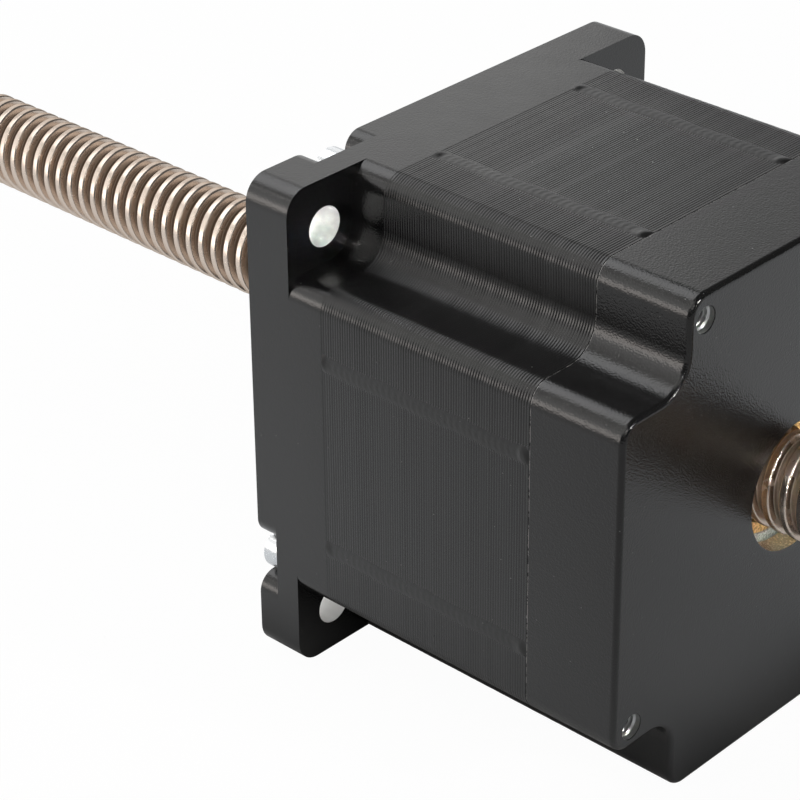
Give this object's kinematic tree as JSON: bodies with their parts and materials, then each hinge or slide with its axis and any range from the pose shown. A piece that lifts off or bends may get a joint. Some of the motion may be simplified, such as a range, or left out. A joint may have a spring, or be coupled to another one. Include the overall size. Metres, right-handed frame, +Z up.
{
  "type": "non-captive linear stepper motor",
  "caption": "Square-flanged black stepper motor with a hollow rotor whose bronze nut drives a threaded lead screw straight through the motor.",
  "frame": {"origin": "centre of the front mounting face, on the screw's axis", "axes": "+X out of the mounting face along the screw, +Z up with the motor lying on its -Z side, +Y towards the side without the lead wires"},
  "size_m": [0.305, 0.0872, 0.086],
  "materials": {
    "black_casting": "black semi-gloss paint on an aluminium casting",
    "black_laminations": "black semi-gloss paint on steel laminations",
    "insulator_plastic": "off-white moulded nylon",
    "copper_wire": "enamelled copper wire",
    "zinc_steel": "bright zinc plate",
    "bearing_steel": "ground and polished",
    "pressed_steel": "pressed sheet steel",
    "spring_steel": "spring steel sheet",
    "black_rubber": "matt black rubber",
    "turned_steel": "fine turned steel",
    "rotor_laminations": "ground steel laminations",
    "magnet": "nickel plated sintered magnet",
    "bronze": "turned bronze",
    "stainless_screw": "rolled stainless steel, bright"
  },
  "bodies": {
    "housing": {"front_end_bell": "black_casting", "rear_end_bell": "black_casting", "stator_stack": "black_laminations", "front_coil_insulator": "insulator_plastic", "rear_coil_insulator": "insulator_plastic", "phase_a_coils": "copper_wire", "phase_b_coils": "copper_wire", "housing_screws": "zinc_steel", "preload_spring": "spring_steel", "lead_wire_grommet": "black_rubber", "front_bearing_outer_ring": "bearing_steel", "front_bearing_shields": "pressed_steel", "rear_bearing_outer_ring": "bearing_steel", "rear_bearing_shields": "pressed_steel"},
    "rotor": {"rotor_tube": "turned_steel", "rotor_cup_front": "rotor_laminations", "rotor_cup_rear": "rotor_laminations", "rotor_magnet": "magnet", "drive_nut": "bronze", "front_bearing_inner_ring": "bearing_steel", "rear_bearing_inner_ring": "bearing_steel"},
    "front_cage": {"front_bearing_cage": "pressed_steel", "front_bearing_balls": "bearing_steel"},
    "rear_cage": {"rear_bearing_cage": "pressed_steel", "rear_bearing_balls": "bearing_steel"},
    "screw": {"lead_screw": "stainless_screw"}
  },
  "joints": [
    {"name": "rotor_spin", "type": "hinge", "parent": "housing", "child": "rotor", "pos_m": [0, 0, 0], "axis": [1, 0, 0], "range_deg": [-5040, 6120]},
    {"name": "screw_slide", "type": "slide", "parent": "housing", "child": "screw", "axis": [1, 0, 0], "range_m": [-0.10815, 0.0891]},
    {"name": "front_cage_spin", "type": "hinge", "parent": "housing", "child": "front_cage", "pos_m": [-0.0071, 0, 0], "axis": [1, 0, 0], "range_deg": [-2238, 2717]},
    {"name": "rear_cage_spin", "type": "hinge", "parent": "housing", "child": "rear_cage", "pos_m": [-0.0657, 0, 0], "axis": [1, 0, 0], "range_deg": [-2238, 2717]}
  ],
  "couplings": [
    {"joint": "screw_slide", "follows": "rotor_spin", "m_per_rad": -0.0010106},
    {"joint": "front_cage_spin", "follows": "rotor_spin", "ratio": 0.44355},
    {"joint": "rear_cage_spin", "follows": "rotor_spin", "ratio": 0.44355}
  ]
}
